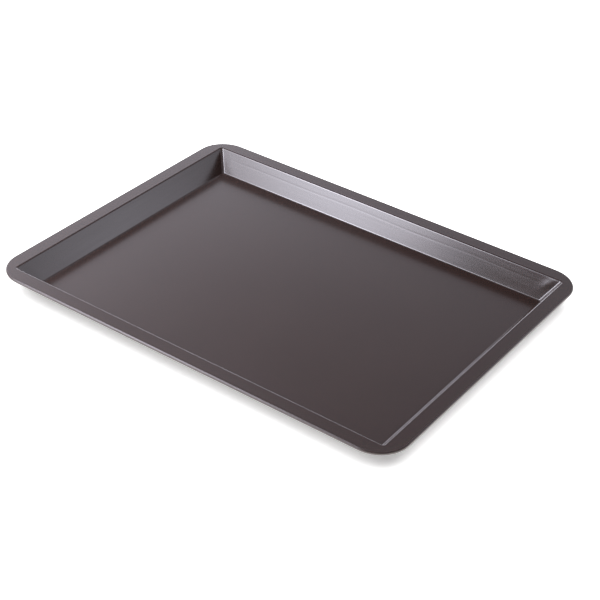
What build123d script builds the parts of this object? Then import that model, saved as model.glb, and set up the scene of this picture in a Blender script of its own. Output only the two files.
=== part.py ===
from build123d import *
from math import atan2, cos
import os

# Jelly roll pan: a tray pressed from one steel sheet, with its edge rolled round a steel wire.
# The origin is the middle of the underside, where the pan rests. X follows the long side, Y the
# short side and Z is up. Lengths are in millimetres and angles in degrees.

# Overall size of the pan, over its rolled edge
overall_length = 432
overall_width = 330
inside_depth = 20.4

# The steel sheet
sheet_thickness = 0.6

# Flange, from the outer edge to where the planes of its top and of a wall meet
flange_width = 15
flange_bend_radius = 1.4  # inside of the bend, under the flange

# Walls: how far each one leans out over the inside depth, and the radii on the food side
wall_run = 13.2
wall_corner_radius = 2.5
floor_bend_radius = 2

# Rolled edge: its corner seen from above, the wire in it, and the turn of the sheet round the wire
rim_corner_radius = 29.5
wire_diameter = 1.8
wire_clearance = 0.05
wire_joint_gap = 0.5
curl_start_angle = 90
curl_turn_angle = 290

# How far a cutting body runs past the face that it cuts
cut_overrun = 1

# Heights above the surface that the pan rests on
floor_top = sheet_thickness
flange_top = floor_top + inside_depth
flange_underside = flange_top - sheet_thickness

# Opening in the plane of the flange top, and the thickness of a leaning wall measured level
opening_length = overall_length - 2 * flange_width
opening_width = overall_width - 2 * flange_width
wall_slope = wall_run / inside_depth
level_wall_thickness = sheet_thickness / cos(atan2(wall_run, inside_depth))

# Rolled edge, worked out from the wire inside it
curl_inner_radius = wire_diameter / 2 + wire_clearance
curl_outer_radius = curl_inner_radius + sheet_thickness
wire_height = flange_top - curl_outer_radius
wire_line_length = overall_length - 2 * curl_outer_radius
wire_line_width = overall_width - 2 * curl_outer_radius
wire_line_radius = rim_corner_radius - curl_outer_radius


def tub(bottom, top, outset, corner_radius, bend_radius):
    """Solid inside four leaning walls, which stand outset from the edges of the opening."""
    sections = []
    for height in (bottom, top):
        lean = (height - flange_top) * wall_slope + outset
        sections.append(Pos(0, 0, height) * Rectangle(opening_length + 2 * lean, opening_width + 2 * lean))
    solid = loft(sections, ruled=True)
    wall_corners = solid.edges() - solid.edges().filter_by(Plane.XY)
    solid = fillet(wall_corners, corner_radius)
    return fillet(solid.faces().sort_by(Axis.Z)[0].edges(), bend_radius)


def flange_plate():
    """Flat plate as high as the flange, which ends over the middle line of the wire."""
    outline = RectangleRounded(wire_line_length, wire_line_width, wire_line_radius)
    return extrude(Pos(0, 0, flange_underside) * outline, sheet_thickness)


def rolled_edge():
    """Sheet turned down and under round the wire, with its cut edge just below the flange."""
    outline = Pos(0, 0, wire_height) * RectangleRounded(wire_line_length, wire_line_width, wire_line_radius)
    path = outline.wires()[0]
    outward = (path % 0).cross(Vector(0, 0, 1))
    outer_arc = CenterArc((0, 0), curl_outer_radius, curl_start_angle, -curl_turn_angle)
    inner_arc = CenterArc((0, 0), curl_inner_radius, curl_start_angle, -curl_turn_angle)
    flange_end = Line(outer_arc @ 0, inner_arc @ 0)
    cut_edge = Line(outer_arc @ 1, inner_arc @ 1)
    section = make_face([outer_arc, inner_arc, flange_end, cut_edge])
    return sweep(Plane(origin=path @ 0, x_dir=outward, z_dir=path % 0) * section, path)


def pan_body():
    """The pressed sheet: floor, walls, flange and rolled edge, all in one piece."""
    outside = tub(0, flange_underside, level_wall_thickness,
                  wall_corner_radius + sheet_thickness, floor_bend_radius + sheet_thickness)
    cavity = tub(floor_top, flange_top + cut_overrun, 0, wall_corner_radius, floor_bend_radius)
    body = outside + flange_plate() - cavity
    top_bend = (-1, flange_bend_radius + sheet_thickness)
    underside_bend = (-2, flange_bend_radius)
    for place, radius in (top_bend, underside_bend):
        flange_face = body.faces().filter_by(Plane.XY).sort_by(Axis.Z)[place]
        body = fillet(flange_face.inner_wires()[0].edges(), radius)
    return body + rolled_edge()


def rim_wire():
    """Round wire bent to the rim, whose ends meet under the middle of the back edge."""
    half_gap = wire_joint_gap / 2
    half_length = wire_line_length / 2
    half_width = wire_line_width / 2
    path = FilletPolyline(
        (half_gap, half_width, wire_height),
        (half_length, half_width, wire_height),
        (half_length, -half_width, wire_height),
        (-half_length, -half_width, wire_height),
        (-half_length, half_width, wire_height),
        (-half_gap, half_width, wire_height),
        radius=wire_line_radius,
    )
    return sweep(Plane(origin=path @ 0, z_dir=path % 0) * Circle(wire_diameter / 2), path)


os.makedirs("parts", exist_ok=True)
for node, solid in (("pan_body", pan_body()), ("rim_wire", rim_wire())):
    export_step(solid, "parts/" + node + ".step")
    print(node, "volume", round(solid.volume), "mm3")
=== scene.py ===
from math import atan2, cos, exp, hypot, pi, radians, sin, tan
import bmesh
import bpy
from mathutils import Matrix, Vector, noise


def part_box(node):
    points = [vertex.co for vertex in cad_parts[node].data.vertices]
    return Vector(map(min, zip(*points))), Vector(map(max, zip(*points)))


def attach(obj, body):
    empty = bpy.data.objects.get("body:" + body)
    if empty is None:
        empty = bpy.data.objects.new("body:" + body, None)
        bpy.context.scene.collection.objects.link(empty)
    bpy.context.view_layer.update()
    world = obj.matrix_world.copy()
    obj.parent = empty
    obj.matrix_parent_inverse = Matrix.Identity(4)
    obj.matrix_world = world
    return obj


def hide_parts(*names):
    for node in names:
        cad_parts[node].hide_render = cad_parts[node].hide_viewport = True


# Jelly roll pan with a dark non-stick finish, on a plain white floor. Lengths are in metres.
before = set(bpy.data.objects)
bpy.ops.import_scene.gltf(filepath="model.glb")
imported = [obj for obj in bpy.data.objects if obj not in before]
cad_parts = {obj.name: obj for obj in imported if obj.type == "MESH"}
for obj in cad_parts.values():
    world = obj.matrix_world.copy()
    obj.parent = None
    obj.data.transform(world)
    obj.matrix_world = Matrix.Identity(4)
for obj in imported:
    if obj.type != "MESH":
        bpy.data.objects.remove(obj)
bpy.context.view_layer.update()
MM = 0.001

# Sizes of the pressed sheet, as in the CAD part
low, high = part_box("pan_body")
HALF_LENGTH = (high[0] - low[0]) / 2
HALF_WIDTH = (high[1] - low[1]) / 2
FLANGE_TOP = high[2]
SHEET = 0.6 * MM
FLANGE = 15 * MM
DEPTH = FLANGE_TOP - SHEET
WALL_RUN = 13.2 * MM
WALL_CORNER = 2.5 * MM
FLOOR_BEND = 2 * MM
FLANGE_BEND = 2 * MM
RIM_CORNER = 29.5 * MM
WIRE_RADIUS = 0.9 * MM
WIRE_CLEARANCE = 0.05 * MM
WIRE_JOINT_GAP = 0.5 * MM
CURL_INNER = WIRE_RADIUS + WIRE_CLEARANCE
CURL_OUTER = CURL_INNER + SHEET
CURL_TURN = radians(290)

# Worked out from them
SLOPE = WALL_RUN / DEPTH
LEAN = atan2(WALL_RUN, DEPTH)
BEND_TURN = pi / 2 - LEAN
OPENING_X = HALF_LENGTH - FLANGE
OPENING_Y = HALF_WIDTH - FLANGE
WIRE_X = HALF_LENGTH - CURL_OUTER
WIRE_Y = HALF_WIDTH - CURL_OUTER
WIRE_CORNER = RIM_CORNER - CURL_OUTER
WIRE_HEIGHT = FLANGE_TOP - CURL_OUTER

# Mesh density
SIDE_STEPS = 72
CORNER_STEPS = 16
BEND_STEPS = 12
FLANGE_STEPS = 6
CURL_STEPS = 32
FLOOR_STEPS = 16
WALL_SHARES = (0, 0.08, 0.17, 0.26, 0.34, 0.42, 0.49, 0.54, 0.57, 0.595, 0.615, 0.635, 0.65, 0.665, 0.68,
               0.695, 0.71, 0.73, 0.75, 0.78, 0.82, 0.87, 0.92, 0.96, 1)
SUPPORT = 0.25 * MM
TUBE_STEPS = 20
TENT_STEPS = 96

# Traces of the press and of use. A share is a part of a wall's height, and waves are counted per metre.
# The dent is at the back right corner.
CREASE_SHARE = 0.66
CREASE_DEPTH = 0.032 * MM
CREASE_WIDTH = 0.7 * MM
CREASE_WANDER = 1.2 * MM
CREASE_FADE = 20 * MM
CORNER_FADE = 6 * MM
SHOULDER_PLACE = 9 * MM
SHOULDER_WIDTH = 4.5 * MM
SHOULDER_HEIGHT = 0.03 * MM
FLOOR_CROWN = 0.1 * MM
WAVE_HEIGHT = 0.02 * MM
WAVES_ALONG = 14
WAVES_UP = 40
DENT_HEIGHT = 0.5 * MM
DENT_PLACE = 5 * MM
DENT_WIDTH = 5 * MM
DENT_SHARE = 0.8
DENT_SHARE_WIDTH = 0.3
DENT_REACH_X = 30 * MM
DENT_REACH_Y = 18 * MM

# Finish of the sheet, with streaks counted per metre
FILM_DARK = (0.0255, 0.012, 0.0085, 1)
FILM_LIGHT = (0.0365, 0.018, 0.0125, 1)
FILM_IOR = 1.8
PEEL_DEPTH = 0.0006 * MM
STREAK_DEPTH = 0.003 * MM
STREAKS_ALONG = 12
STREAKS_ACROSS = 900
BURNISH_CHANGE = 0.08
BURNISH_AT_BEND = 1
BURNISH_AT_CURL = -1.5

# Finish of the wire
STEEL_DARK = (0.38, 0.38, 0.39, 1)
STEEL_LIGHT = (0.56, 0.56, 0.58, 1)
STEEL_GRAIN_DEPTH = 0.001 * MM

# Light tent. A glow is its azimuth and elevation in degrees, how tight it is, and its brightness
TENT_RADIUS = 1
CLOTH_GLOW = 0.3
CLOTH_COLOUR = (1.01, 1, 1.12, 1)
MAIN_GLOW = (228.5, 36.5, 29, 7.9)
POLE_NORMAL = 152.5
POLE_SOFTNESS = 0.09
LOW_GLOW = (124, 0, 5.5, 4.8)
LOW_GLOW_FADING = 4.2
FRONT_LEFT_GLOW = (214, 49, 80, 15)
FRONT_GLOW = (240, 52, 80, 7)
LEFT_GLOW = (166, 9, 12.5, 2.3)
BACK_RIGHT_GLOW = (46, 18.5, 37, 1.45)
BACK_LEFT_GLOW = (141, 52.5, 120, 0.6)

# Floor and its light
FLOOR_HALF = 6
FLOOR_COLOUR = (0.8, 0.8, 0.8, 1)
FLOOR_GLOW = 0.42
FLOOR_LIGHT_POWER = 11
FLOOR_LIGHT_SPREAD = radians(100)
FLOOR_LIGHT_TILT = radians(-12)


def camera():
    """The photograph's camera, fitted to the pan's straight edges."""
    azimuth, elevation, roll = radians(34.618), radians(34.179), radians(2.638)
    distance, shift_right, shift_up = 1350.74 * MM, 8.463 * MM, -23.105 * MM
    back = Vector((sin(azimuth) * cos(elevation), -cos(azimuth) * cos(elevation), sin(elevation)))
    level_right = Vector((0, 0, 1)).cross(back).normalized()
    level_up = back.cross(level_right)
    right = cos(roll) * level_right + sin(roll) * level_up
    up = cos(roll) * level_up - sin(roll) * level_right
    eye = Vector((0, 0, FLANGE_TOP)) + back * distance + right * shift_right + up * shift_up
    data = bpy.data.cameras.new("camera")
    data.sensor_width = 36
    data.lens = 88.482
    data.clip_start = 0.05
    data.clip_end = 50
    thing = bpy.data.objects.new("camera", data)
    bpy.context.scene.collection.objects.link(thing)
    thing.matrix_world = Matrix((
        (right.x, up.x, back.x, eye.x),
        (right.y, up.y, back.y, eye.y),
        (right.z, up.z, back.z, eye.z),
        (0, 0, 0, 1),
    ))
    bpy.context.scene.camera = thing


def ring(half_x, half_y, radius):
    """Rounded rectangle as (point, outward direction, distance from the nearest corner) along it.

    It has the same count and order of points for every size, closer together near the corners.
    """
    points = []
    for corner in range(4):
        side_x = 1 if corner in (0, 3) else -1
        side_y = 1 if corner in (0, 1) else -1
        centre = Vector((side_x * (half_x - radius), side_y * (half_y - radius)))
        for step in range(CORNER_STEPS + 1):
            angle = (corner + step / CORNER_STEPS) * pi / 2
            away = Vector((cos(angle), sin(angle)))
            points.append((centre + radius * away, away, 0))
        length = 2 * ((half_x if corner in (0, 2) else half_y) - radius)
        along = Vector((-away.y, away.x))
        start = points[-1][0]
        for step in range(1, SIDE_STEPS):
            place = length * (1 - cos(pi * step / SIDE_STEPS)) / 2
            points.append((start + place * along, away, min(place, length - place)))
    return points


def wall_place(height):
    """Distance of the food side of a wall from the edge of the opening, at this height."""
    return (height - FLANGE_TOP) * SLOPE


def sheet_sections():
    """The sheet from the middle of the floor to its cut edge.

    Each entry is half length, half width and corner radius of the ring on the food side, its height,
    the direction there, as how much of it points outward and how much up, and the zone.
    """
    rings = []

    def near_wall(place, height, outward, upward, zone):
        radius = WALL_CORNER + place - wall_place(height)
        rings.append((OPENING_X + place, OPENING_Y + place, radius, height, outward, upward, zone))

    tangent = FLOOR_BEND * tan(BEND_TURN / 2)
    floor_end = wall_place(SHEET) - tangent
    floor_x, floor_y = OPENING_X + floor_end, OPENING_Y + floor_end
    floor_radius = WALL_CORNER - tangent
    for step in range(1, FLOOR_STEPS):
        share = step / FLOOR_STEPS
        rings.append((floor_x * share, floor_y * share, floor_radius * share, SHEET, 0, 1, "floor"))
    near_wall(floor_end - SUPPORT, SHEET, 0, 1, "floor")
    for step in range(BEND_STEPS + 1):
        turn = BEND_TURN * step / BEND_STEPS
        near_wall(floor_end + FLOOR_BEND * sin(turn), SHEET + FLOOR_BEND * (1 - cos(turn)),
                  -sin(turn), cos(turn), "bend")
    wall_start = SHEET + FLOOR_BEND * (1 - cos(BEND_TURN)) + SUPPORT * cos(LEAN)
    wall_end = FLANGE_TOP - FLANGE_BEND * (1 - cos(BEND_TURN)) - SUPPORT * cos(LEAN)
    for share in WALL_SHARES:
        height = wall_start + (wall_end - wall_start) * share
        near_wall(wall_place(height), height, -cos(LEAN), sin(LEAN), "wall")
    flange_tangent = FLANGE_BEND * tan(BEND_TURN / 2)
    for step in range(BEND_STEPS + 1):
        turn = BEND_TURN * (1 - step / BEND_STEPS)
        near_wall(flange_tangent - FLANGE_BEND * sin(turn), FLANGE_TOP - FLANGE_BEND * (1 - cos(turn)),
                  -sin(turn), cos(turn), "bend")
    inner = (OPENING_X + flange_tangent, OPENING_Y + flange_tangent, WALL_CORNER + flange_tangent)
    outer = (WIRE_X, WIRE_Y, WIRE_CORNER)
    inner_support = SUPPORT / (outer[0] - inner[0])
    shares = [inner_support] + [step / FLANGE_STEPS for step in range(1, FLANGE_STEPS)] + [1 - inner_support]
    for share in shares:
        half_x, half_y, radius = (a + (b - a) * share for a, b in zip(inner, outer))
        rings.append((half_x, half_y, radius, FLANGE_TOP, 0, 1, "flange"))
    for step in range(CURL_STEPS + 1):
        angle = pi / 2 - CURL_TURN * step / CURL_STEPS
        out = CURL_OUTER * cos(angle)
        rings.append((WIRE_X + out, WIRE_Y + out, WIRE_CORNER + out,
                      WIRE_HEIGHT + CURL_OUTER * sin(angle), cos(angle), sin(angle), "curl"))
    return rings


def hump(distance, centre, width):
    """Smooth rise to 1 at centre."""
    return exp(-((distance - centre) / width) ** 2)


def wave(point, height):
    """Slow unevenness of rolled and pressed sheet, from -1 to 1."""
    return noise.noise(Vector((point.x * WAVES_ALONG, point.y * WAVES_ALONG, height * WAVES_UP + 3)))


def relief(zone, point, height, along):
    """How far the press and the stresses in the sheet lift it from its nominal surface."""
    if zone == "floor":
        inner_x, inner_y = OPENING_X - WALL_RUN, OPENING_Y - WALL_RUN
        inside = max(0, 1 - (point.x / inner_x) ** 2) * max(0, 1 - (point.y / inner_y) ** 2)
        return (FLOOR_CROWN + WAVE_HEIGHT * (1 + wave(point, 0))) * inside
    if zone == "wall":
        share = (height - SHEET) / DEPTH
        free = min(1, along / CORNER_FADE)
        middle = sin(pi * share)
        crease_height = SHEET + CREASE_SHARE * DEPTH + CREASE_WANDER * wave(point, 2)
        long_side = min(1, max(0, (OPENING_X - WALL_RUN - abs(point.x)) / CREASE_FADE))
        crease = CREASE_DEPTH * long_side * hump(height, crease_height, CREASE_WIDTH)
        shoulder = SHOULDER_HEIGHT * hump(along, SHOULDER_PLACE, SHOULDER_WIDTH)
        if point.x > OPENING_X - DENT_REACH_X and point.y > OPENING_Y - DENT_REACH_Y:
            dent = hump(along, DENT_PLACE, DENT_WIDTH) * hump(share, DENT_SHARE, DENT_SHARE_WIDTH)
            shoulder += DENT_HEIGHT * dent
        return free * (shoulder * middle + WAVE_HEIGHT * wave(point, height) * middle - crease)
    if zone == "flange":
        return -WAVE_HEIGHT * (1 + wave(point, 1)) / 2
    return 0


def new_piece(name, mesh):
    """A bmesh as a smooth-shaded object of that name."""
    bmesh.ops.recalc_face_normals(mesh, faces=mesh.faces)
    for face in mesh.faces:
        face.smooth = True
    data = bpy.data.meshes.new(name)
    mesh.to_mesh(data)
    mesh.free()
    piece = bpy.data.objects.new(name, data)
    bpy.context.scene.collection.objects.link(piece)
    return piece


def pan_sheet():
    """The pressed sheet as one closed mesh with smooth bends.

    Its UV map runs along the rim and across it, in metres. The vertex value wall is 1 on the walls, and
    burnish is 1 on the bends, which the press rubs smooth, and negative on the rougher curl.
    """
    mesh = bmesh.new()
    rim_uv = mesh.loops.layers.uv.new("rim")
    on_wall = mesh.verts.layers.float.new("wall")
    burnished = mesh.verts.layers.float.new("burnish")
    sections = sheet_sections()
    reference = [point for point, away, along in ring(OPENING_X, OPENING_Y, WALL_CORNER)]
    lengths = [0]
    for before, after in zip(reference, reference[1:] + reference[:1]):
        lengths.append(lengths[-1] + (after - before).length)
    across = [0]
    for before, after in zip(sections, sections[1:]):
        across.append(across[-1] + hypot(after[0] - before[0], after[3] - before[3]))
    skins = []
    for depth in (0, SHEET):
        skin = []
        for half_x, half_y, radius, height, outward, upward, zone in sections:
            inset = depth * outward
            loop = []
            for point, away, along in ring(half_x - inset, half_y - inset, radius - inset):
                lift = relief(zone, point, height, along)
                place = point + away * outward * lift
                vert = mesh.verts.new((place.x, place.y, height - depth * upward + upward * lift))
                vert[on_wall] = 1 if zone == "wall" else 0
                vert[burnished] = {"bend": BURNISH_AT_BEND, "curl": BURNISH_AT_CURL}.get(zone, 0)
                loop.append(vert)
            skin.append(loop)
        skins.append(skin)
    loops = skins[0] + skins[1][::-1]
    spans = across + across[::-1]
    count = len(reference)
    for level in range(len(loops) - 1):
        inner, outer = loops[level], loops[level + 1]
        for place in range(count):
            after = (place + 1) % count
            face = mesh.faces.new((inner[place], inner[after], outer[after], outer[place]))
            for corner, u, v in zip(face.loops, (place, place + 1, place + 1, place), (0, 0, 1, 1)):
                corner[rim_uv].uv = (lengths[u], spans[level + v])
    for loop, level in ((loops[0], SHEET + relief("floor", Vector((0, 0)), SHEET, 0)),
                        (loops[-1], relief("floor", Vector((0, 0)), SHEET, 0))):
        middle = mesh.verts.new((0, 0, level))
        for place in range(count):
            face = mesh.faces.new((middle, loop[place], loop[(place + 1) % count]))
            for corner, u, v in zip(face.loops, (place, place, place + 1), (0, 1, 1)):
                corner[rim_uv].uv = (lengths[u], spans[0] + v * across[1])
    for skin in skins:
        for place in range(count):
            mesh.edges.get((skin[-1][place], skin[-1][(place + 1) % count])).smooth = False
    piece = new_piece("pressed_sheet", mesh)
    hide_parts("pan_body")
    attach(piece, "root")
    return piece


def rim_wire():
    """Drawn wire in the rolled edge, with its butt joint under the middle of the back edge."""
    path = [(point, away) for point, away, along in ring(WIRE_X, WIRE_Y, WIRE_CORNER)]
    half_gap = WIRE_JOINT_GAP / 2
    back = (Vector((0, 1)), WIRE_Y)
    first = next(place for place, (point, away) in enumerate(path) if point.x < -half_gap and away.y > 0.99)
    path = path[first:] + path[:first]
    path = [(Vector((-half_gap, back[1])), back[0])] + path
    path = [entry for entry in path if abs(entry[0].x) >= half_gap or entry[0].y < 0]
    path.append((Vector((half_gap, back[1])), back[0]))
    mesh = bmesh.new()
    loops = []
    for point, away in path:
        loop = []
        for step in range(TUBE_STEPS):
            angle = 2 * pi * step / TUBE_STEPS
            place = point + away * WIRE_RADIUS * cos(angle)
            loop.append(mesh.verts.new((place.x, place.y, WIRE_HEIGHT + WIRE_RADIUS * sin(angle))))
        loops.append(loop)
    for before, after in zip(loops, loops[1:]):
        for step in range(TUBE_STEPS):
            following = (step + 1) % TUBE_STEPS
            mesh.faces.new((before[step], before[following], after[following], after[step]))
    for loop in (loops[0], loops[-1]):
        mesh.faces.new(loop)
    piece = new_piece("edge_wire", mesh)
    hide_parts("rim_wire")
    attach(piece, "root")
    return piece


class Shading:
    """Short names for adding and joining nodes of one node tree."""

    def __init__(self, tree):
        self.tree = tree

    def add(self, kind, links=None, **settings):
        node = self.tree.nodes.new(kind)
        for name, value in settings.items():
            setattr(node, name, value)
        for key, value in (links or {}).items():
            if isinstance(value, bpy.types.NodeSocket):
                self.tree.links.new(value, node.inputs[key])
            else:
                node.inputs[key].default_value = value
        return node

    def math(self, operation, first, second=0.0, third=0.0):
        return self.add("ShaderNodeMath", {0: first, 1: second, 2: third}, operation=operation).outputs[0]

    def grain(self, where, scale, detail=2.0, roughness=0.5):
        node = self.add("ShaderNodeTexNoise", {"Vector": where, "Scale": scale, "Detail": detail,
                                               "Roughness": roughness})
        return node.outputs["Fac"]

    def spread(self, value, low, high):
        """A value from 0 to 1 moved to lie between low and high."""
        return self.math("MULTIPLY_ADD", value, high - low, low)


def coating():
    """Dark brown-grey semi-gloss film, with fine orange peel and faint streaks on the walls."""
    material = bpy.data.materials.new("nonstick_film")
    material.use_nodes = True
    shader = material.node_tree.nodes["Principled BSDF"]
    net = Shading(material.node_tree)
    place = net.add("ShaderNodeTexCoord").outputs["Object"]
    rim = net.add("ShaderNodeUVMap", uv_map="rim").outputs["UV"]
    wall = net.add("ShaderNodeAttribute", attribute_name="wall").outputs["Fac"]
    burnish = net.add("ShaderNodeAttribute", attribute_name="burnish").outputs["Fac"]
    stretched = net.add("ShaderNodeMapping", {"Vector": rim, "Scale": (STREAKS_ALONG, STREAKS_ACROSS, 1)})
    cloud = net.grain(place, 11, 3)
    speckle = net.grain(place, 1400, 2)
    peel = net.grain(place, 620, 2)
    streak = net.grain(stretched.outputs["Vector"], 1, 3, 0.6)
    tone = net.math("ADD", net.math("MULTIPLY", cloud, 0.6), net.math("MULTIPLY", speckle, 0.4))
    colour = net.add("ShaderNodeMix", {"Factor": tone, "A": FILM_DARK, "B": FILM_LIGHT}, data_type="RGBA")
    gloss = net.math("ADD", net.spread(cloud, -0.02, 0.02), net.spread(speckle, 0.16, 0.22))
    drawn = net.math("MULTIPLY", net.spread(streak, -0.07, 0.07), wall)
    drawn = net.math("SUBTRACT", drawn, net.math("MULTIPLY", burnish, BURNISH_CHANGE))
    height = net.math("ADD", net.math("MULTIPLY", peel, 0.7), net.math("MULTIPLY", speckle, 0.3))
    lines = net.add("ShaderNodeBump", {"Strength": 1.0, "Distance": STREAK_DEPTH,
                                       "Height": net.math("MULTIPLY", streak, wall)}).outputs["Normal"]
    bump = net.add("ShaderNodeBump", {"Strength": 1.0, "Distance": PEEL_DEPTH, "Height": height,
                                      "Normal": lines})
    link = material.node_tree.links.new
    link(colour.outputs["Result"], shader.inputs["Base Color"])
    link(net.math("ADD", gloss, drawn), shader.inputs["Roughness"])
    link(bump.outputs["Normal"], shader.inputs["Normal"])
    shader.inputs["IOR"].default_value = FILM_IOR
    return material


def steel():
    """Plain drawn steel of the wire."""
    material = bpy.data.materials.new("drawn_steel")
    material.use_nodes = True
    shader = material.node_tree.nodes["Principled BSDF"]
    net = Shading(material.node_tree)
    place = net.add("ShaderNodeTexCoord").outputs["Object"]
    cloud = net.grain(place, 60, 3)
    speckle = net.grain(place, 2500, 2)
    colour = net.add("ShaderNodeMix", {"Factor": cloud, "A": STEEL_DARK, "B": STEEL_LIGHT}, data_type="RGBA")
    bump = net.add("ShaderNodeBump", {"Strength": 1.0, "Distance": STEEL_GRAIN_DEPTH, "Height": speckle})
    link = material.node_tree.links.new
    link(colour.outputs["Result"], shader.inputs["Base Color"])
    link(net.spread(speckle, 0.28, 0.42), shader.inputs["Roughness"])
    link(bump.outputs["Normal"], shader.inputs["Normal"])
    shader.inputs["Metallic"].default_value = 1
    return material


def floor():
    """Plain white floor, lit from below as well, as a light table is."""
    data = bpy.data.meshes.new("floor")
    corners = [(x * FLOOR_HALF, y * FLOOR_HALF, 0) for x, y in ((-1, -1), (1, -1), (1, 1), (-1, 1))]
    data.from_pydata(corners, [], [(0, 1, 2, 3)])
    thing = bpy.data.objects.new("floor", data)
    bpy.context.scene.collection.objects.link(thing)
    material = bpy.data.materials.new("white_floor")
    material.use_nodes = True
    shader = material.node_tree.nodes["Principled BSDF"]
    shader.inputs["Base Color"].default_value = FLOOR_COLOUR
    shader.inputs["Roughness"].default_value = 0.9
    shader.inputs["Specular IOR Level"].default_value = 0
    shader.inputs["Emission Color"].default_value = (1, 1, 1, 1)
    shader.inputs["Emission Strength"].default_value = FLOOR_GLOW
    data.materials.append(material)
    return thing


def direction(azimuth, elevation):
    """Unit vector; the azimuth is from +X towards +Y, in degrees."""
    flat = cos(radians(elevation))
    return Vector((flat * cos(radians(azimuth)), flat * sin(radians(azimuth)), sin(radians(elevation))))


def tent():
    """Light tent around the pan: dim cloth with glowing places, the main one cut off by a pole.

    The camera looks through the cloth.
    """
    data = bpy.data.meshes.new("light_tent")
    mesh = bmesh.new()
    bmesh.ops.create_uvsphere(mesh, u_segments=TENT_STEPS, v_segments=TENT_STEPS // 2, radius=TENT_RADIUS)
    below = [vert for vert in mesh.verts if vert.co.z < -0.001]
    bmesh.ops.delete(mesh, geom=below, context="VERTS")
    mesh.to_mesh(data)
    mesh.free()
    thing = bpy.data.objects.new("light_tent", data)
    bpy.context.scene.collection.objects.link(thing)
    material = bpy.data.materials.new("tent_cloth")
    material.use_nodes = True
    material.node_tree.nodes.clear()
    net = Shading(material.node_tree)
    place = net.add("ShaderNodeTexCoord").outputs["Object"]
    way = net.add("ShaderNodeVectorMath", {0: place}, operation="NORMALIZE").outputs["Vector"]

    def glow(azimuth, elevation, tightness, brightness):
        near = net.add("ShaderNodeVectorMath", {0: way, 1: direction(azimuth, elevation)},
                       operation="DOT_PRODUCT").outputs["Value"]
        power = net.math("MULTIPLY", net.math("SUBTRACT", near, 1), tightness)
        return net.math("MULTIPLY", net.math("EXPONENT", power), brightness)

    past_pole = net.add("ShaderNodeVectorMath", {0: way, 1: direction(POLE_NORMAL, 0)},
                        operation="DOT_PRODUCT").outputs["Value"]
    left_of_pole = net.add("ShaderNodeMapRange", {0: past_pole, 1: -POLE_SOFTNESS, 2: POLE_SOFTNESS},
                           interpolation_type="SMOOTHSTEP").outputs[0]
    total = net.math("MULTIPLY", glow(*MAIN_GLOW), left_of_pole)
    level = net.add("ShaderNodeSeparateXYZ", {"Vector": way}).outputs["Z"]
    fading = net.math("EXPONENT", net.math("MULTIPLY", level, -LOW_GLOW_FADING))
    total = net.math("ADD", total, net.math("MULTIPLY", glow(*LOW_GLOW), fading))
    for settings in (FRONT_LEFT_GLOW, FRONT_GLOW, LEFT_GLOW, BACK_RIGHT_GLOW, BACK_LEFT_GLOW):
        total = net.math("ADD", total, glow(*settings))
    total = net.math("ADD", total, CLOTH_GLOW)
    emission = net.add("ShaderNodeEmission", {"Color": CLOTH_COLOUR, "Strength": total}).outputs[0]
    net.add("ShaderNodeOutputMaterial", {"Surface": emission})
    data.materials.append(material)
    thing.visible_camera = False
    return thing


def collection(name, things):
    """A collection for light linking."""
    group = bpy.data.collections.new(name)
    for thing in things:
        group.objects.link(thing)
    return group


def floor_light(ground, pan):
    """Wide light from above and a little from the left.

    Only the floor gets it, and only the pan stops it.
    """
    data = bpy.data.lights.new("floor_light", "SUN")
    data.energy = FLOOR_LIGHT_POWER
    data.angle = FLOOR_LIGHT_SPREAD
    thing = bpy.data.objects.new("floor_light", data)
    thing.rotation_euler = (0, FLOOR_LIGHT_TILT, 0)
    bpy.context.scene.collection.objects.link(thing)
    thing.light_linking.receiver_collection = collection("lit_floor", [ground])
    thing.light_linking.blocker_collection = collection("shadow_makers", pan)
    return thing


def surroundings():
    """Plain white, seen only outside the tent."""
    world = bpy.data.worlds.new("surroundings")
    bpy.context.scene.world = world
    world.use_nodes = True
    world.node_tree.nodes["Background"].inputs["Color"].default_value = (1, 1, 1, 1)
    world.node_tree.nodes["Background"].inputs["Strength"].default_value = 1


camera()
sheet = pan_sheet()
sheet.data.materials.append(coating())
wire = rim_wire()
wire.data.materials.append(steel())
ground = floor()
tent().light_linking.receiver_collection = collection("lit_pan", [sheet, wire])
floor_light(ground, [sheet, wire])
surroundings()
bpy.context.scene.view_settings.view_transform = "Standard"
